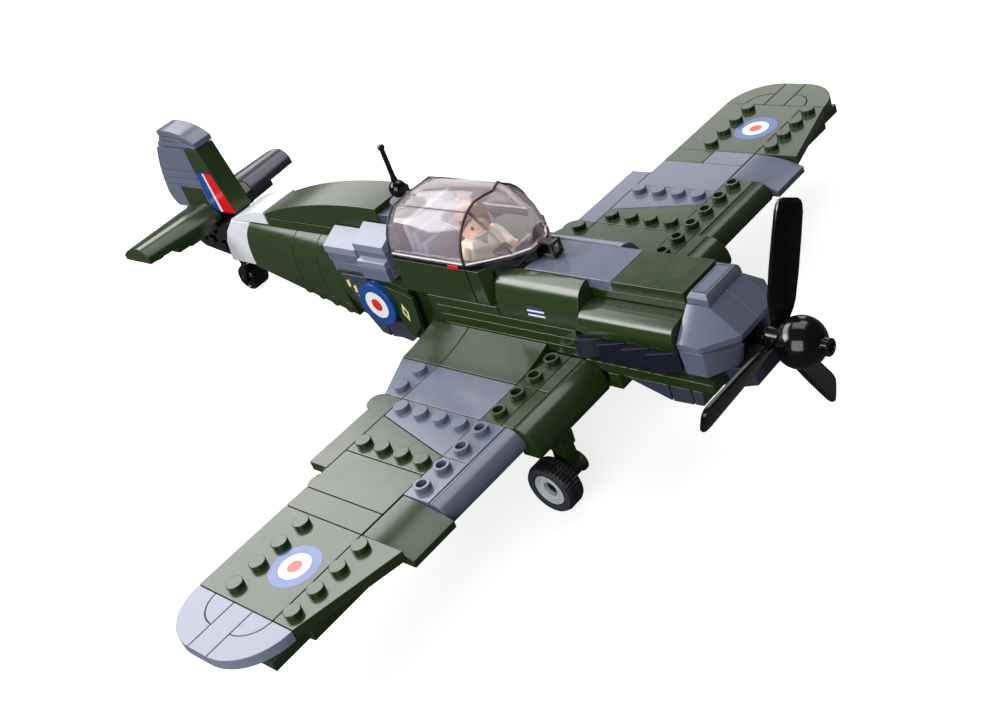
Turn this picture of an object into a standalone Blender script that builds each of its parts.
"""Brick-built propeller plane model, standing on its three wheels.

Lengths are in studs (one stud = PITCH metres) in the model's own building grid: x runs to the
nose, y to the left wing tip, and z up from the top of the wing plates. The empty "stand" carries
that grid: it pitches the plane nose-up until all three wheels touch the ground at z = 0, and puts
the middle of its bounding box over the origin.
"""

from math import asin, atan2, cos, hypot, pi, radians, sin, sqrt

import bmesh
import bpy
from mathutils import Vector

# ---- sizes that drive the model ----
PITCH = 0.008  # metres from one stud to the next
GAP = 0.0003 / PITCH  # clearance between two touching pieces
E = GAP / 2  # what each of the two gives up
RUN = 0.01  # radial clearance of a shaft in its bore
PLATE = 0.4  # height of a plate
STUD_R = 0.3
STUD_H = 0.21
RING_BORE = 0.62  # bore of an open stud, as a share of its radius

HALF = 2.0  # half width of the fuselage
WALL = 0.55  # thickness of the cockpit walls
PANEL_START = 12.0  # the outer wing panel starts this far from the centre line
PANEL_END = 16.0  # and ends here, where the round tip begins
TIP_R = 2.0
CHORD_REAR = -4.5  # rear edge of the main wing plates
SPAR_FRONT = 1.04

WHEEL_R = 1.0
WHEEL_X, WHEEL_Z = 1.4, -2.85
WHEEL_IN, WHEEL_OUT = 5.02, 5.85
RIM_SHARE = 0.6  # rim radius over wheel radius
LEG_IN, LEG_OUT = 4.2, 4.92
AXLE_R = 0.18
TAIL_WHEEL_R = 0.65
TAIL_WHEEL_X, TAIL_WHEEL_Z = -21.7, -1.0
TAIL_WHEEL_HALF = 0.46
TAIL_AXLE_R = 0.12

HUB_X, HUB_Z = 8.0, 0.76  # middle of the propeller on its shaft
BLADE_R = 4.5
HUB_R = 0.46
BALL_X, BALL_R = 8.83, 0.875

RAIL_LOW, RAIL_TOP = 2.87, 3.24  # the rail that the canopy lies on
CANOPY_FOOT = 3.34
CANOPY_TOP = 5.3
SHELL = 0.14  # canopy wall
HEAD_ROOM = 0.46  # from the figure's hair to the canopy
HINGE_X, HINGE_Z = -0.62, 3.42
SEAT = 1.88
HEAD_X = -4.52

BAND_TOP_X, BAND_LOW_X = -18.1, -19.2  # front edge of the white band
MARK_FRONT, MARK_REAR = -7.46, -11.7  # the panel around the side roundel
ROUNDEL_X, ROUNDEL_Z, ROUNDEL_R = -9.35, 0.75, 1.0
AERIAL_X, AERIAL_Z = -8.12, 4.92
FIN_REAR = -21.5

# ---- places that follow from them ----
H = HALF - E
SIDES = ((1, "l"), (-1, "r"))
LAYER_LOW = -PLATE + E  # underside of the top layer of the wing
AXLE_BORE = AXLE_R + RUN
RIM_R = WHEEL_R * RIM_SHARE

# colour, roughness, metallic
OLIVE = ((0.024, 0.047, 0.009), 0.3, 0.0)
GREY = ((0.13, 0.15, 0.22), 0.3, 0.0)
SLATE = ((0.04, 0.045, 0.07), 0.3, 0.0)
NAVY = ((0.011, 0.012, 0.028), 0.3, 0.0)
BLACK = ((0.004, 0.004, 0.005), 0.2, 0.0)
WHITE = ((0.84, 0.85, 0.9), 0.3, 0.0)
CREAM = ((0.85, 0.8, 0.63), 0.4, 0.0)
BROWN = ((0.27, 0.07, 0.016), 0.4, 0.0)
SMOKE = ((0.5, 0.38, 0.4), 0.05, 0.0)
SILVER = ((0.67, 0.7, 0.76), 0.25, 0.0)
RUBBER = ((0.01, 0.01, 0.012), 0.6, 0.0)

# ---- clean scene, two collections, and the empty that everything hangs on ----
for old in list(bpy.data.objects):
    bpy.data.objects.remove(old)
parts = bpy.data.collections.new("propeller_plane_model")
tools = bpy.data.collections.new("tools")
bpy.context.scene.collection.children.link(parts)
bpy.context.scene.collection.children.link(tools)
tools.hide_render = True
stand = bpy.data.objects.new("stand", None)
parts.objects.link(stand)

# turns local z onto an axis of the grid; a flat outline's own x and y fall on (y, z) or (x, z)
TURNS = {"x": (pi / 2, 0, pi / 2), "y": (pi / 2, 0, 0), "z": (0, 0, 0)}
SPINS = {"x": (pi / 2, 0, pi / 2), "y": (-pi / 2, 0, 0), "z": (0, 0, 0)}


# ---- making objects ----
def coat(obj, finish):
    """Gives the piece a material of its own."""
    tone, roughness, metallic = finish
    material = bpy.data.materials.new(obj.name + "_plastic")
    material.use_nodes = True
    shader = material.node_tree.nodes["Principled BSDF"]
    shader.inputs["Base Color"].default_value = (*tone, 1)
    shader.inputs["Roughness"].default_value = roughness
    shader.inputs["Metallic"].default_value = metallic
    obj.data.materials.append(material)


def add(name, mesh, at=(0, 0, 0), turn=(0, 0, 0), finish=None):
    """A piece of the plane when it has a finish, and otherwise a tool that shapes one."""
    obj = bpy.data.objects.new(name, mesh)
    obj.parent = stand
    obj.location = Vector(at) * PITCH
    obj.rotation_euler = turn
    if finish:
        parts.objects.link(obj)
        coat(obj, finish)
    else:
        tools.objects.link(obj)
        obj.hide_render = True
        obj.display_type = "WIRE"
    return obj


def to_mesh(bm, name, smooth=False):
    bmesh.ops.recalc_face_normals(bm, faces=bm.faces)
    mesh = bpy.data.meshes.new(name)
    bm.to_mesh(mesh)
    bm.free()
    if smooth:
        mesh.shade_smooth()
        mesh.set_sharp_from_angle(angle=radians(35))
    return mesh


def place(axis, u, v, w):
    """(u, v) in the plane across the axis, w along it."""
    return {"z": (u, v, w), "y": (u, w, v), "x": (w, u, v)}[axis]


def block(name, x, y, z, finish=None):
    """A box; x, y and z are (from, to)."""
    bm = bmesh.new()
    bmesh.ops.create_cube(bm, size=1.0)
    size = Vector([abs(b - a) for a, b in (x, y, z)])
    bmesh.ops.scale(bm, vec=size * PITCH, verts=bm.verts)
    middle = [(a + b) / 2 for a, b in (x, y, z)]
    return add(name, to_mesh(bm, name), middle, finish=finish)


def rod(name, axis, centre, radius, low, high, steps=16, finish=None):
    bm = bmesh.new()
    length = abs(high - low) * PITCH
    radius *= PITCH
    bmesh.ops.create_cone(bm, cap_ends=True, segments=steps, radius1=radius, radius2=radius, depth=length)
    at = place(axis, *centre, (low + high) / 2)
    return add(name, to_mesh(bm, name, smooth=True), at, SPINS[axis], finish)


def flat(name, axis, outline, low, high, finish=None):
    """A flat outline: a filled 2D curve with half its thickness as extrusion, made a mesh."""
    middle = [(min(p) + max(p)) / 2 for p in zip(*outline)]
    drawing = bpy.data.curves.new(name, "CURVE")
    drawing.dimensions = "2D"
    drawing.fill_mode = "BOTH"
    drawing.extrude = abs(high - low) / 2 * PITCH
    line = drawing.splines.new("POLY")
    line.points.add(len(outline) - 1)
    for point, (u, v) in zip(line.points, outline):
        point.co = ((u - middle[0]) * PITCH, (v - middle[1]) * PITCH, 0, 1)
    line.use_cyclic_u = True
    drawn = bpy.data.objects.new(name, drawing)
    tools.objects.link(drawn)
    graph = bpy.context.evaluated_depsgraph_get()
    mesh = bpy.data.meshes.new_from_object(drawn.evaluated_get(graph))
    bpy.data.objects.remove(drawn)
    bm = bmesh.new()
    bm.from_mesh(mesh)
    bmesh.ops.remove_doubles(bm, verts=bm.verts, dist=1e-6)
    bmesh.ops.dissolve_limit(bm, angle_limit=0.001, verts=bm.verts, edges=bm.edges)
    bm.to_mesh(mesh)
    bm.free()
    mesh.name = name
    return add(name, mesh, place(axis, *middle, (low + high) / 2), TURNS[axis], finish)


def turned(name, axis, centre, profile, steps=24, finish=None, ring=False, pivot=None):
    """(radius, along) points turned about an axis. A ring's profile is closed and clear of the axis.

    The origin is halfway along the profile, or at the pivot when one is given.
    """
    if ring:
        clockwise = sum((b[0] - a[0]) * (b[1] + a[1]) for a, b in zip(profile, profile[1:] + profile[:1])) > 0
    else:
        clockwise = profile[0][1] > profile[-1][1]
    if not clockwise:
        profile = profile[::-1]
    middle = (profile[0][1] + profile[-1][1]) / 2 if pivot is None else pivot
    bm = bmesh.new()
    line = [bm.verts.new(Vector((r, 0, along - middle)) * PITCH) for r, along in profile]
    for a, b in zip(line, line[1:]):
        bm.edges.new((a, b))
    if ring:
        bm.edges.new((line[-1], line[0]))
    obj = add(name, to_mesh(bm, name), place(axis, *centre, middle), SPINS[axis], finish)
    screw = obj.modifiers.new("turn", "SCREW")
    screw.axis = "Z"
    screw.steps = screw.render_steps = steps
    screw.use_merge_vertices = True
    screw.merge_threshold = 1e-5
    screw.use_smooth_shade = True
    return obj


def loft(name, rings, finish=None, at=(0, 0, 0)):
    """A closed body through rings of the same number of points, for sections that differ."""
    bm = bmesh.new()
    made = [[bm.verts.new((Vector(p) - Vector(at)) * PITCH) for p in ring] for ring in rings]
    bm.faces.new(made[0])
    bm.faces.new(made[-1])
    for a, b in zip(made, made[1:]):
        for k in range(len(a)):
            bm.faces.new((a[k - 1], a[k], b[k], b[k - 1]))
    return add(name, to_mesh(bm, name), at, finish=finish)


def hull(name, points, finish=None):
    """The flat-faced body that just holds the points."""
    bm = bmesh.new()
    for p in points:
        bm.verts.new(Vector(p) * PITCH)
    made = bmesh.ops.convex_hull(bm, input=bm.verts)
    spare = {v for v in made["geom_interior"] + made["geom_unused"] if isinstance(v, bmesh.types.BMVert)}
    bmesh.ops.delete(bm, geom=list(spare), context="VERTS")
    bmesh.ops.dissolve_limit(bm, angle_limit=0.001, verts=bm.verts, edges=bm.edges)
    return add(name, to_mesh(bm, name), finish=finish)


# ---- joining and cutting ----
def combine(obj, others, operation="UNION"):
    for other in others:
        step = obj.modifiers.new("step", "BOOLEAN")
        step.operation = operation
        step.solver = "EXACT"
        step.object = other
    return obj


def combine_all(obj, others):
    """One union with many small bodies at once."""
    group = bpy.data.collections.new(obj.name + "_studs")
    tools.children.link(group)
    for other in others:
        tools.objects.unlink(other)
        group.objects.link(other)
    step = obj.modifiers.new("studs", "BOOLEAN")
    step.operation = "UNION"
    step.solver = "EXACT"
    step.operand_type = "COLLECTION"
    step.collection = group
    return obj


def stud(x, y, z=0.0):
    return rod("stud", "z", (x, y), STUD_R, z - 0.06, z + STUD_H, 12)


def ring_stud(x, y, z=0.0):
    bore, low, high = STUD_R * RING_BORE, z - 0.06, z + STUD_H
    section = [(bore, low), (STUD_R, low), (STUD_R, high), (bore, high)]
    return turned("ring_stud", "z", (x, y), section, 12, ring=True)


# ---- outlines ----
def both(points):
    """The points and their mirror images in y = 0."""
    return points + [(x, -y, z) for x, y, z in points]


def inset(outline, gap=E):
    """The outline pulled in along every edge."""
    turning = sum(a[0] * b[1] - b[0] * a[1] for a, b in zip(outline, outline[1:] + outline[:1]))
    corners = [Vector(p) for p in (outline if turning > 0 else outline[::-1])]
    pulled = []
    for k, corner in enumerate(corners):
        e1 = (corner - corners[k - 1]).normalized()
        e2 = (corners[(k + 1) % len(corners)] - corner).normalized()
        n1, n2 = Vector((-e1.y, e1.x)), Vector((-e2.y, e2.x))
        pulled.append(tuple(corner + (n1 + n2) * (gap / (1 + n1.dot(n2)))))
    return pulled


def plan(outline, side):
    """An outline seen from above, with its share of the gap, on one side of the plane."""
    return [(x, y * side) for x, y in inset(outline)]


def bend(a, control, b, steps):
    """Points of a quadratic curve from a to b."""
    points = []
    for k in range(steps + 1):
        t = k / steps
        s = 1 - t
        points.append(tuple(s * s * p + 2 * t * s * q + t * t * r for p, q, r in zip(a, control, b)))
    return points


def arc(u, v, radius, start, end, steps):
    """Points of an arc; the angles are in degrees."""
    turns = [radians(start + (end - start) * k / steps) for k in range(steps + 1)]
    return [(u + radius * cos(a), v + radius * sin(a)) for a in turns]


def side_on(outline, side):
    """A (y, z) section moved to one side of the plane."""
    return [(y * side, z) for y, z in outline]


# ---- wings ----
def wing_spar():
    """The lower layer of both wings, in one plate."""
    rear, front, tip_front = CHORD_REAR + 0.1, 0.68, 0.42
    end = PANEL_END + 1.03
    step = end - 1.4
    half = [(-6.2, 4.0), (-5.3, 6.0), (-5.3, 9.9), (rear, 9.9), (rear, PANEL_END)]
    half += [(rear + 0.8, end - 0.15), (-0.6, end), (tip_front, end), (tip_front, step), (front, step - 0.02)]
    half += [(front, 5.97), (SPAR_FRONT, 5.93)]
    other = [(x, -y) for x, y in half[::-1]]
    flat("wing_spar", "z", half + other, -2 * PLATE + E, -PLATE - E, OLIVE)


def wing_plates(side, tag):
    """The camouflaged top layer as far as the outer panel."""
    row = (-1, -2, -3, -4)
    outline = plan([(-6.5, 4), (-0.5, 4), (-0.5, 8), (-4.5, 7), (-4.5, 6), (-5.5, 6)], side)
    inner = flat("wing_inner_" + tag, "z", outline, LAYER_LOW, 0.0, OLIVE)
    combine_all(inner, [stud(-5, 4.5 * side), stud(-5, 5.5 * side)] + [stud(x, 6.5 * side) for x in row])
    end = PANEL_START
    outline = [(-5.5, 6), (-4.5, 6), (-4.5, 7), (-0.5, 8), (-0.5, end), (-4.5, end), (-4.5, 10), (-5.5, 10)]
    middle = flat("wing_mid_" + tag, "z", plan(outline, side), LAYER_LOW, 0.0, OLIVE)
    combine_all(middle, [stud(x, 8.5 * side) for x in row])


def leading_edges(side, tag):
    """Rounded front edges with their rows of open studs."""
    root = [(-0.5 + E, LAYER_LOW), (-0.5 + E, 0), (1.07, 0), (1.36, -0.05), (1.62, -0.18), (1.81, -0.38)]
    root += [(1.92, -0.62), (1.95, -0.88), (1.86, -1.15), (1.09, -1.15), (1.09, LAYER_LOW)]
    inner = flat("leading_edge_inner_" + tag, "y", root, (HALF + E) * side, (6 - E) * side, OLIVE)
    rows = [y for y in (2.5, 3.5, 4.5, 5.5) if y - STUD_R > HALF]
    combine_all(inner, [ring_stud(0, y * side) for y in rows])
    thin = [(-0.5 + E, LAYER_LOW), (-0.5 + E, 0), (0.72, 0), (0.98, -0.04), (1.2, -0.14)]
    thin += [(1.36, -0.3), (1.44, -0.5), (1.4, -0.8), (0.74, -0.8), (0.74, LAYER_LOW)]
    finish = OLIVE if tag == "l" else GREY
    outer = flat("leading_edge_outer_" + tag, "y", thin, (6 + E) * side, (10 - E) * side, finish)
    combine_all(outer, [ring_stud(0, y * side) for y in (6.5, 7.5, 8.5, 9.5)])
    start, end = (10 + E) * side, (PANEL_START - E) * side
    slope = [(-0.5 + E, LAYER_LOW), (-0.5 + E, 0)] + bend((-0.4, 0), (0.9, -0.05), (1.75, -0.42), 6)
    slope += [(1.75, -0.72), (0.74, -0.72), (0.74, LAYER_LOW)]
    flat("wing_slope_" + tag, "y", slope, start, end, GREY if tag == "l" else OLIVE)


def wing_ends(side, tag):
    """The outer panel and the round tip."""
    outline = [(CHORD_REAR, PANEL_START), (1.5, PANEL_START), (0.5, PANEL_END), (CHORD_REAR, PANEL_END)]
    panel = flat("wing_panel_" + tag, "z", plan(outline, side), LAYER_LOW, 0.0, OLIVE)
    rows = [PANEL_END - 0.5 - k for k in range(int(PANEL_END - PANEL_START))]
    combine_all(panel, [stud(x, y * side) for x in (-3, 0) for y in rows])
    tip = arc(CHORD_REAR + TIP_R, PANEL_END, TIP_R, 180, 90, 8) + arc(0.5 - TIP_R, PANEL_END, TIP_R, 90, 0, 8)
    flat("wing_tip_" + tag, "z", plan(tip, side), LAYER_LOW, 0.0, OLIVE if tag == "l" else GREY)


def root_fairing(side, tag):
    swell = [(HALF + E, LAYER_LOW), (4 - E, LAYER_LOW), (4 - E, 0.0)]
    swell += bend((4 - E, 0.02), (3.1, 0.03), (HALF + E, 0.36), 6)
    flat("root_fairing_" + tag, "x", side_on(swell, side), -6.5 + E, -0.5 - E, OLIVE)


# ---- fuselage in front of the cockpit ----
def fuselage_front():
    front = block("fuselage_front", (-7.42, -2.5 - E), (-H, H), (LAYER_LOW, 4 * PLATE - E), OLIVE)
    inside = HALF - 0.3
    stack = [
        block("nose_layers", (-2.6, 1.12 - E), (-H, H), (LAYER_LOW, 3 * PLATE - E)),
        block("nose_core", (1.0, 5.5 - E), (-inside, inside), (E, 1.0)),
        block("ridge_low", (-2.5 + E, 5.5 - E), (-1 + E, 1 - E), (0.5, 5 * PLATE - E)),
        block("ridge_top", (-1.5 + E, 2.5 - E), (-1 + E, 1 - E), (1.5, 6 * PLATE - E)),
    ]
    combine(front, stack)


def keel_and_belly():
    top = -2 * PLATE - E
    keel = [(-7.42, -1.1), (2.5, -1.1), (2.5, -0.44), (2.0, -0.44), (2.0, -0.82), (SPAR_FRONT, -0.82)]
    keel.append((-7.42, top))
    flat("keel", "y", keel, -H, H, OLIVE)
    side = [(1.14, -E), (6.5, -E), (6.56, -0.1), (6.56, -0.38), (6.02, -0.43), (5.92, -1.06), (4.6, -1.14)]
    side += [(3.1, -0.6), (2.6, -0.42), (1.14, -0.42)]
    belly = flat("belly", "y", side, -H, H, SLATE)
    nose = [(5.6, 1.5, -0.06), (5.6, 1.0, -0.72), (6.9, 1.0, -0.74), (7.4, 0.8, -0.72), (7.45, 0.85, 0.1)]
    combine(belly, [hull("nose_block", both(nose + [(6.7, 1.2, 0.1)]))])


def cowl_and_chin():
    """The faceted cowl, the intake under it, and the fixed propeller shaft."""
    rear = 5.5 + E
    low = [(rear, HALF - 0.02, 1.21), (6.45, HALF - 0.02, 1.21), (7.22, 1.0, 0.9)]
    low += [(rear, HALF - 0.1, 0.2), (6.35, HALF - 0.1, 0.2), (6.95, 1.1, 0.2)]
    chin = hull("chin", both(low), GREY)
    boss = rod("boss", "x", (0, HUB_Z), 0.3, 6.9, HUB_X - 0.38)
    combine(chin, [boss, rod("shaft", "x", (0, HUB_Z), AXLE_R, 7.5, HUB_X + 0.2)])
    facets = [(rear, 1, 2.4), (6.4, 1, 2.4), (rear, HALF, 1.5), (6.42, HALF, 1.47), (7.42, 1, 1.49)]
    facets += [(rear, HALF, 1.25), (6.42, HALF, 1.25), (7.38, 1, 1.25)]
    cowl = hull("cowl", both(facets), GREY)
    tile = [(x, 0.97, z) for x in (5.58, 6.42) for z in (2.36, 2.64)] + [(5.66, 0.86, 2.8), (6.34, 0.86, 2.8)]
    combine(cowl, [hull("top_tile", both(tile))])


def decks():
    width = (-1 + E, 1 - E)
    block("deck_rear", (-1.5 + E, 2.5 - E), width, (6 * PLATE + E, 7 * PLATE), GREY)
    block("deck_front", (2.5 + E, 5.5 - E), width, (5 * PLATE + E, 7 * PLATE), OLIVE)


def side_panels(side, tag):
    """Two rounded panels beside the deck, joined in one piece."""
    low, high = 3 * PLATE + E, 7 * PLATE
    round_rear = [(1 + E, low), (1 + E, high)] + bend((1.08, high), (HALF, 6.6 * PLATE), (HALF, low), 7)
    finish = GREY if tag == "l" else OLIVE
    panel = flat("side_panel_" + tag, "x", side_on(round_rear, side), -2.5 + E, 1.5 - E, finish)
    round_nose = [(1 + E, 1.02 + E), (1 + E, 2.08), (1.45, 2.1)]
    round_nose += bend((1.5, 2.1), (HALF + 0.2, 2.05), (HALF + 0.12, 1.35), 5) + [(HALF - 0.05, 1.02 + E)]
    combine(panel, [flat("nose_panel", "x", side_on(round_nose, side), 1.3, 5.5 - E)])


def exhaust(side, tag):
    """Four overlapping plates; each stands out at its rear end."""
    inner = HALF - 0.3 + GAP
    first, step, count = 1.14, 1.05, 4
    teeth = [(first, inner)]
    for k in range(count):
        teeth += [(first + step * k, HALF + 0.26), (first + step * (k + 1) - 0.02, HALF - 0.16)]
    teeth.append((first + step * count, inner))
    flat("exhaust_" + tag, "z", [(x, y * side) for x, y in teeth], 0.2, 1.0, NAVY)


# ---- cockpit ----
def side_wall(side, tag):
    inner, low, high = HALF - WALL, 4 * PLATE + E, RAIL_LOW - GAP
    section = [(inner, low), (H, low), (H, high), (inner, high)]
    flat("side_wall_" + tag, "x", side_on(section, side), -7.42, -2.58, OLIVE)


def canopy_rim():
    """The rail around the cockpit, open at the rear, with two hinge ears in front."""
    outer = [(-7.4, HALF - 0.02), (-3.25, HALF - 0.02), (-1.8, 1.05), (-1.2, 0.42)]
    inner = [(-1.75, 0.35), (-2.1, 0.75), (-3.4, HALF - 0.5), (-7.4, HALF - 0.5)]
    outline = outer + [(x, -y) for x, y in outer[::-1]] + [(x, -y) for x, y in inner[::-1]] + inner
    rail = flat("canopy_rim", "z", outline, RAIL_LOW, RAIL_TOP, BLACK)
    ears = [block("ear_plate", (-1.4, -0.3), (-0.62, 0.62), (7 * PLATE + GAP, 3.1))]
    ear = [(HINGE_X + 0.26, 3.0)] + arc(HINGE_X, HINGE_Z, 0.26, 0, 180, 8) + [(HINGE_X - 0.26, 3.0)]
    for side, _ in SIDES:
        ears.append(flat("ear", "y", ear, 0.36 * side, 0.6 * side))
    combine_all(rail, ears)


def cockpit_interior():
    """Floor, seat back and instrument panel."""
    rib = HALF - WALL - GAP
    low = 4 * PLATE + E
    seat_back = block("cockpit_interior", (-6.2, -5.9), (-1.3, 1.3), (low, 4.3), SLATE)
    floor = block("floor", (-7.05, -2.7), (-rib, rib), (low, SEAT - GAP))
    combine(seat_back, [floor, block("panel", (-3.1, -2.7), (-1.0, 1.0), (1.7, 2.75))])


def canopy_arch(foot, crease, roof):
    """Points of one arch, from the left foot over the roof to the right foot."""
    (bx, by), (cx, cy, cz), (tx, tz) = foot, crease, roof
    left = []
    for t in (0, 0.35, 0.7, 1.0):
        y = (1 - t) ** 2 * by + 2 * t * (1 - t) * by * 0.98 + t * t * cy
        z = (1 - t) ** 2 * CANOPY_FOOT + t * t * cz
        z += 2 * t * (1 - t) * (CANOPY_FOOT + 0.68 * (cz - CANOPY_FOOT))
        left.append((bx + (cx - bx) * t, y, z))
    left.append(((cx + tx) / 2, cy * 0.55, cz + (tz - cz) * 0.8))
    return left + [(tx, 0.0, tz)] + [(x, -y, z) for x, y, z in left[::-1]]


def canopy():
    """An open skin over seven arches and the blunt nose, with the wall's thickness inwards."""
    top = CANOPY_TOP
    wide, narrow = HALF, 1.5
    arches = [
        canopy_arch((-7.38, wide), (-7.38, 1.05, top - 0.44), (-7.38, top - 0.42)),
        canopy_arch((-6.9, wide), (-6.9, 1.02, top - 0.41), (-6.9, top - 0.2)),
        canopy_arch((-6.2, wide), (-6.2, 1.0, top - 0.4), (-6.2, top)),
        canopy_arch((-3.4, wide), (-3.4, 1.0, top - 0.37), (-2.8, top)),
        canopy_arch((-2.55, narrow), (-2.4, 0.84, top - 0.7), (-1.95, top - 0.27)),
        canopy_arch((-1.85, 1.02), (-1.72, 0.62, top - 1.15), (-1.15, top - 0.66)),
        canopy_arch((-1.38, 0.5), (-1.2, 0.4, top - 1.55), (-0.86, top - 1.1)),
    ]
    hinge = Vector((HINGE_X, 0, HINGE_Z))
    bm = bmesh.new()
    rings = [[bm.verts.new((Vector(p) - hinge) * PITCH) for p in ring] for ring in arches]
    for a, b in zip(rings, rings[1:]):
        for k in range(1, len(a)):
            bm.faces.new((a[k - 1], a[k], b[k], b[k - 1]))
    bm.faces.new(rings[-1])
    shell = add("canopy", to_mesh(bm, "canopy", smooth=True), hinge, finish=SMOKE)
    wall = shell.modifiers.new("wall", "SOLIDIFY")
    wall.thickness = SHELL * PITCH
    wall.offset = -1
    lug = block("lug", (-1.36, HINGE_X), (-0.3, 0.3), (HINGE_Z - 0.1, HINGE_Z + 0.16))
    combine(shell, [lug, rod("barrel", "y", (HINGE_X, HINGE_Z), 0.2, -0.32, 0.32)])


def figure_z(z):
    """A height on the figure, which reaches from the seat to just under the canopy."""
    drawn_top = 4.7
    top = CANOPY_TOP - SHELL - HEAD_ROOM
    return SEAT + (z - SEAT) * (top - SEAT) / (drawn_top - SEAT)


def pilot():
    """A plain toy figure: body in one piece, head on a pin."""
    torso = [(-0.95, 2.35), (0.95, 2.35), (0.66, 3.3), (-0.66, 3.3)]
    body = flat("pilot_body", "x", [(y, figure_z(z)) for y, z in torso], -4.85, -4.2, CREAM)
    pieces = [block("hips", (-4.95, -4.1), (-0.95, 0.95), (SEAT, figure_z(2.45)))]
    arm = [(-4.8, 0.6, 3.2), (-4.4, 0.6, 3.25), (-4.8, 1.1, 3.05), (-4.4, 1.1, 3.05), (-3.75, 0.95, 2.5)]
    arm += [(-3.6, 0.7, 2.7), (-4.2, 0.7, 2.5), (-4.3, 1.15, 2.6)]
    for side, _ in SIDES:
        pieces.append(block("leg", (-4.3, -3.3), (0.06 * side, 0.92 * side), (SEAT, figure_z(2.4))))
        pieces.append(hull("arm", [(x, y * side, figure_z(z)) for x, y, z in arm]))
    pieces.append(rod("neck", "z", (HEAD_X, 0), 0.2, figure_z(3.2), figure_z(3.42), 12))
    combine(body, pieces)
    head = [(0, 3.47), (0.42, 3.47), (0.58, 3.6), (0.64, 3.85), (0.7, 3.95), (0.72, 4.2), (0.6, 4.5)]
    head += [(0.35, 4.66), (0, 4.7)]
    turned("pilot_head", "z", (HEAD_X, 0), [(r, figure_z(z)) for r, z in head], 16, BROWN)


# ---- rear fuselage ----
def low_half(x):
    """Half width of the fuselage at its lower corner."""
    return 1 + (x - BAND_LOW_X) * (HALF - 1) / (-8.3 - BAND_LOW_X)


def low_z(x):
    return 0.45 - (x - BAND_LOW_X) * 0.1376


def core_half(x):
    return 0.5 + (x - BAND_LOW_X) * 0.04


def fuselage_rear():
    """The tapering core that the side panels close, with the plate under the spine."""
    top = 2.88
    corners = [(MARK_FRONT, low_z(MARK_FRONT)), (MARK_FRONT, top), (BAND_TOP_X + 0.1, top)]
    corners.append((BAND_LOW_X + 0.1, low_z(BAND_LOW_X) + 0.02))
    core = loft("fuselage_rear", [[(x, core_half(x) * s, z) for x, z in corners] for s in (-1, 1)], OLIVE)
    width = 1 - E
    plate = block("spine_plate", (-16.6, -8.72), (-width, width), (top + GAP, 8.2 * PLATE))
    combine(core, [plate, block("spine_root", (-16.6, -8.72), (-0.6, 0.6), (2.5, 3.0))])
    rise = [(-16.6, 3.32), (-8.72, 3.32), (-8.72, 4.52)] + bend((-9.6, 4.53), (-13.2, 4.5), (-16.6, 3.55), 8)
    flat("spine", "y", rise, -width, width, OLIVE)


def rear_side(side, tag):
    """The rounded side from the roundel to the white band."""
    top = 2.88
    lean = (BAND_LOW_X - BAND_TOP_X) / (top - low_z(BAND_LOW_X))

    def section(half, low, x_at):
        inner_top, inner_low = [core_half(x_at(z)) + GAP for z in (top, low)]
        outline = [(inner_top, top), (1.0, top)]
        outline += bend((1.02, top - 0.02), (half + 0.55, 2.55), (half, low), 8) + [(inner_low, low)]
        return [(x_at(z), y * side, z) for y, z in outline]

    def x_front(_):
        return MARK_REAR - GAP

    def x_rear(z):
        return BAND_TOP_X + (top - z) * lean + GAP

    front = section(low_half(MARK_REAR), low_z(MARK_REAR), x_front)
    rear = section(low_half(BAND_LOW_X) + 0.02, low_z(BAND_LOW_X), x_rear)
    loft("rear_side_" + tag, [front, rear], OLIVE)


def mark_panel(side, tag):
    """The panel that carries the side roundel."""
    rings = []
    for x in (MARK_REAR, -8.3, MARK_FRONT):
        half, low, inner = low_half(x), low_z(x), core_half(x) + GAP
        outline = [(inner, low), (half - 0.25, low), (min(half, HALF) - 0.02, low + 0.35), (HALF + 0.02, 0.9)]
        outline += [(H, 1.9), (H - 0.06, 1.96), (inner, 1.96)]
        rings.append([(x, y * side, z) for y, z in outline])
    panel = loft("mark_panel_" + tag, rings, SLATE)
    centre = (ROUNDEL_X, ROUNDEL_Z)
    combine(panel, [rod("roundel", "y", centre, ROUNDEL_R, (HALF - 0.1) * side, (HALF + 0.28) * side, 24)])


def rear_steps(side, tag):
    low_step = [(1.03, 2.0), (H, 2.0), (H, 3.14), (1.03, 3.56)]
    steps = flat("rear_steps_" + tag, "x", side_on(low_step, side), MARK_REAR, -9.66, GREY)
    ledge = HALF + 0.2
    high_step = [(1.03, 2.0), (ledge, 2.0), (ledge, 2.82), (H, 2.94), (H, 3.47), (1.03, 3.93)]
    combine(steps, [flat("high_step", "x", side_on(high_step, side), -9.72, -7.82)])


def aerial():
    """The blue-grey block behind the canopy, its socket, and the mast on its ball."""
    width = 1 - E
    base = block("antenna_base", (-8.68, -7.5), (-width, width), (2.92, 4.3), SLATE)
    cup = [(0, 4.2), (0.56, 4.2), (0.56, 4.4), (0.5, 4.52), (0, 4.52)]
    combine(base, [turned("socket", "z", (AERIAL_X, 0), cup, 20)])
    ball = [(0, -0.36), (0.2, -0.3), (0.34, -0.1), (0.34, 0.1), (0.2, 0.28), (0.12, 0.4)]
    mast = [(0.1, 1.74), (0.14, 1.78), (0.14, 1.88), (0, 1.92)]
    profile = [(r, AERIAL_Z + rise) for r, rise in ball + mast]
    turned("antenna", "z", (AERIAL_X, 0), profile, 14, BLACK, pivot=AERIAL_Z)


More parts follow.
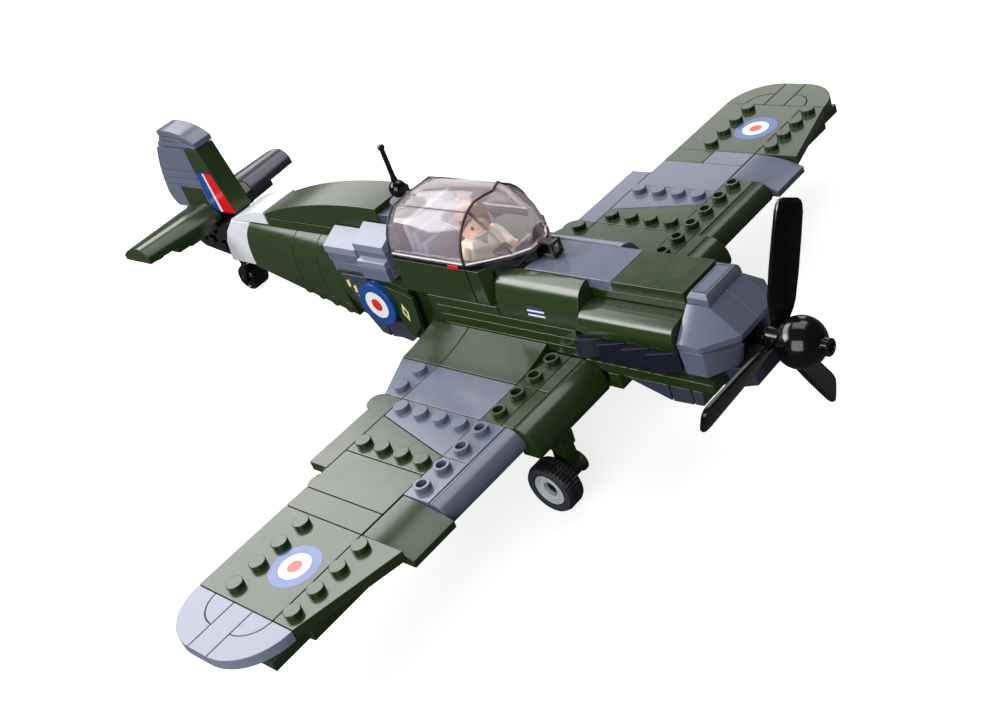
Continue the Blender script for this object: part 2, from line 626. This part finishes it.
# ---- tail ----
def tail_band():
    width = 1 - E
    outline = [(BAND_LOW_X, 0.46), (BAND_TOP_X - 0.02, 2.9), (-16.66, 2.92), (-16.66, 3.58), (-17.5, 3.5)]
    outline += [(-18.6, 3.24), (-19.6, 2.83), (-20.35, 2.2), (-20.8, 1.6), (-21.1, 0.5)]
    flat("tail_band", "y", outline, -width, width, WHITE)


def tail_block():
    """Black bricks behind the band, with the fork and the fixed axle of the tail wheel."""
    outline = [(-21.14, 0.5), (-20.84, 1.62), (-20.4, 2.2), (-20.06, 2.46), (-23.6, 2.46), (-23.72, 1.15)]
    body = flat("tail_block", "y", outline + [(-23.3, 0.86)], -0.75, 0.75, BLACK)
    inner, outer = TAIL_WHEEL_HALF + 0.04, TAIL_WHEEL_HALF + 0.16
    shank = [(-21.5, outer, 0.6), (-21.15, outer, 0.6), (-21.25, outer, -0.1), (-20.95, outer, 0.0)]
    shelf = [(-20.2, 2.4), (-19.8, 2.82), (-23.9, 2.82), (-23.9, 2.4)]
    pieces = [flat("shelf", "y", shelf, -0.46, 0.46), hull("shank", both(shank))]
    x, z = TAIL_WHEEL_X, TAIL_WHEEL_Z
    arm = ((x - 0.2, z), (x, z - 0.2), (x + 0.2, z - 0.15), (-20.95, 0.0), (-21.25, 0.05))
    for side, _ in SIDES:
        pieces.append(hull("fork", [(u, y * side, v) for y in (inner, outer) for u, v in arm]))
    pieces.append(rod("tail_axle", "y", (x, z), TAIL_AXLE_R, -outer + 0.06, outer - 0.06, 12))
    combine(body, pieces)


def fin_and_rudder():
    outline = [(FIN_REAR + E, 2.86), (-19.66, 2.86), (-20.46, 6.1), (FIN_REAR + E, 6.1)]
    flat("fin", "y", outline, -0.5, 0.5, OLIVE)
    outline = [(FIN_REAR - E, 2.86), (FIN_REAR - E, 6.14), (-20.44, 6.14), (-20.44, 6.4)]
    outline += bend((-20.9, 6.66), (-22.0, 7.1), (-23.05, 6.96), 4)
    outline += [(-23.16, 6.6), (-23.76, 6.08)] + bend((-24.12, 5.5), (-24.66, 4.4), (-24.72, 3.6), 3)
    outline += [(-24.68, 3.2), (-24.35, 2.86)]
    flat("rudder", "y", outline, -0.5, 0.5, GREY)


def stabiliser(side, tag):
    """A tapering blade, with two plates under its root."""
    root = [(-21.02, 2.5), (-20.98, 2.78), (-21.3, 3.1), (-21.75, 3.27), (-22.6, 3.2), (-23.4, 2.96)]
    root += [(-23.95, 2.72), (-23.95, 2.5)]
    end = [(-21.52, 2.5), (-21.54, 2.8), (-21.72, 3.06), (-22.1, 3.24), (-22.7, 3.16), (-23.2, 3.0)]
    end += [(-23.6, 2.76), (-23.6, 2.5)]
    rings = [[(x, y * side, z) for x, z in ring] for y, ring in ((0.54, root), (4.5, end))]
    blade = loft("stabiliser_" + tag, rings, GREY if tag == "l" else OLIVE)
    first = [(-22.6, 0.8), (-21.2, 0.8), (-21.5, 3.0), (-22.6, 3.0)]
    second = [(-23.2, 0.79), (-22.1, 0.79), (-22.1, 2.0), (-23.2, 2.0)]
    first, second = [[(x, y * side) for x, y in outline] for outline in (first, second)]
    combine(blade, [flat("under_plate", "z", first, 2.14, 2.6), flat("low_plate", "z", second, 1.76, 2.6)])


# ---- undercarriage ----
def gear_leg(side, tag):
    """Upright, hub and fixed axle."""
    top = -1.15 - GAP
    outline = [(1.08, top), (1.84, top), (1.8, -2.6), (1.0, -2.6)]
    leg = flat("gear_leg_" + tag, "y", outline, LEG_IN * side, LEG_OUT * side, OLIVE)
    centre = (WHEEL_X, WHEEL_Z)
    hub = rod("hub", "y", centre, 0.45, (LEG_IN - 0.15) * side, (LEG_OUT + 0.04) * side, 20)
    combine(leg, [hub, rod("axle", "y", centre, AXLE_R, (LEG_OUT - 0.02) * side, (WHEEL_OUT - 0.13) * side)])


def wheel(side, tag):
    """Dished rim and tyre, both turning on the fixed axle."""
    centre = (WHEEL_X, WHEEL_Z)
    back, face = WHEEL_IN + 0.04, WHEEL_OUT - 0.05
    rim = [(AXLE_BORE, back), (RIM_R, back), (RIM_R, face - 0.02), (RIM_R - 0.08, face)]
    rim += [(RIM_R - 0.14, face - 0.14), (0.3, face - 0.2), (AXLE_BORE, face - 0.14)]
    turned("wheel_rim_" + tag, "y", centre, [(r, w * side) for r, w in rim], 24, SILVER, ring=True)
    seat, shoulder = RIM_R + GAP, WHEEL_R - 0.12
    tyre = [(seat, WHEEL_IN), (shoulder, WHEEL_IN), (WHEEL_R, WHEEL_IN + 0.16), (WHEEL_R, WHEEL_OUT - 0.16)]
    tyre += [(shoulder, WHEEL_OUT), (seat, WHEEL_OUT)]
    turned("tyre_" + tag, "y", centre, [(r, w * side) for r, w in tyre], 32, RUBBER, ring=True)


def tail_wheel():
    bore, shoulder, half = TAIL_AXLE_R + RUN, TAIL_WHEEL_R - 0.1, TAIL_WHEEL_HALF
    section = [(bore, -half), (shoulder, -half), (TAIL_WHEEL_R, 0.1 - half), (TAIL_WHEEL_R, half - 0.1)]
    section += [(shoulder, half), (bore, half)]
    turned("tail_wheel", "y", (TAIL_WHEEL_X, TAIL_WHEEL_Z), section, 24, BLACK, ring=True)


# ---- propeller ----
def blade(turn):
    """One twisted blade, lofted from flat six-sided sections; turn is measured from straight up."""
    out = Vector((0, sin(turn), cos(turn)))
    across = Vector((0, cos(turn), -sin(turn)))
    middle = Vector((HUB_X - 0.02, 0, HUB_Z))
    stations = ((0.2, 0.28, 0.12, 38), (0.75, 0.34, 0.11, 34), (1.25, 0.46, 0.09, 28))
    stations += ((BLADE_R - 0.55, 0.48, 0.07, 18), (BLADE_R - 0.2, 0.38, 0.06, 17), (BLADE_R, 0.14, 0.05, 16))
    rings = []
    for reach, half, thick, lean in stations:
        wide = across * cos(radians(lean)) + Vector((sin(radians(lean)), 0, 0))
        deep = Vector((cos(radians(lean)), 0, 0)) - across * sin(radians(lean))
        section = ((-1, 0), (-0.6, 1), (0.6, 1), (1, 0), (0.6, -1), (-0.6, -1))
        rings.append([middle + out * reach + wide * half * u + deep * thick * w for u, w in section])
    return loft("blade", rings)


def propeller():
    centre = (0, HUB_Z)
    hub = rod("propeller", "x", centre, HUB_R, HUB_X - 0.34, HUB_X + 0.3, 24, BLACK)
    combine(hub, [blade(radians(30 + 120 * k)) for k in range(3)])
    combine(hub, [rod("bore", "x", centre, AXLE_BORE, HUB_X - 0.5, HUB_X + 0.5, 24)], "DIFFERENCE")


def spinner():
    """The ball in front of the hub, with a hollow pin."""
    back, front = HUB_X + 0.34, BALL_X + BALL_R * 0.94
    ball = [(0, back)]
    for k in range(9):
        x = back + (front - back) * k / 8
        ball.append((sqrt(BALL_R**2 - (x - BALL_X) ** 2), x))
    pin = BALL_X + 1.09
    ball += [(0.3, front + 0.01), (0.3, pin), (0.17, pin), (0.17, pin - 0.12), (0, pin - 0.12)]
    turned("spinner", "x", (0, HUB_Z), ball, 24, BLACK)


# ---- the stand ----
def stand_on_wheels():
    """Pitches the grid onto its wheels and moves the middle of its box over the origin."""
    run, drop = WHEEL_X - TAIL_WHEEL_X, TAIL_WHEEL_Z - WHEEL_Z
    pitch_up = atan2(drop, run) + asin((WHEEL_R - TAIL_WHEEL_R) / hypot(run, drop))
    stand.rotation_euler = (0, -pitch_up, 0)
    bpy.context.view_layer.update()
    graph = bpy.context.evaluated_depsgraph_get()
    low, high = Vector((1, 1, 1)), Vector((-1, -1, -1))
    for obj in parts.objects:
        if obj is stand:
            continue
        shape = obj.evaluated_get(graph)
        mesh = shape.to_mesh()
        for vert in mesh.vertices:
            point = shape.matrix_world @ vert.co
            low = Vector(map(min, low, point))
            high = Vector(map(max, high, point))
        shape.to_mesh_clear()
    stand.location = (-(low.x + high.x) / 2, 0, -low.z)
    bpy.context.view_layer.update()
    print("grid to world", [round(v, 6) for v in stand.location], "pitch", round(pitch_up, 6))


wing_spar()
fuselage_front()
keel_and_belly()
cowl_and_chin()
decks()
canopy_rim()
cockpit_interior()
canopy()
pilot()
fuselage_rear()
aerial()
tail_band()
tail_block()
fin_and_rudder()
tail_wheel()
propeller()
spinner()
for side, tag in SIDES:
    wing_plates(side, tag)
    leading_edges(side, tag)
    wing_ends(side, tag)
    root_fairing(side, tag)
    side_panels(side, tag)
    exhaust(side, tag)
    side_wall(side, tag)
    rear_side(side, tag)
    mark_panel(side, tag)
    rear_steps(side, tag)
    stabiliser(side, tag)
    gear_leg(side, tag)
    wheel(side, tag)
stand_on_wheels()
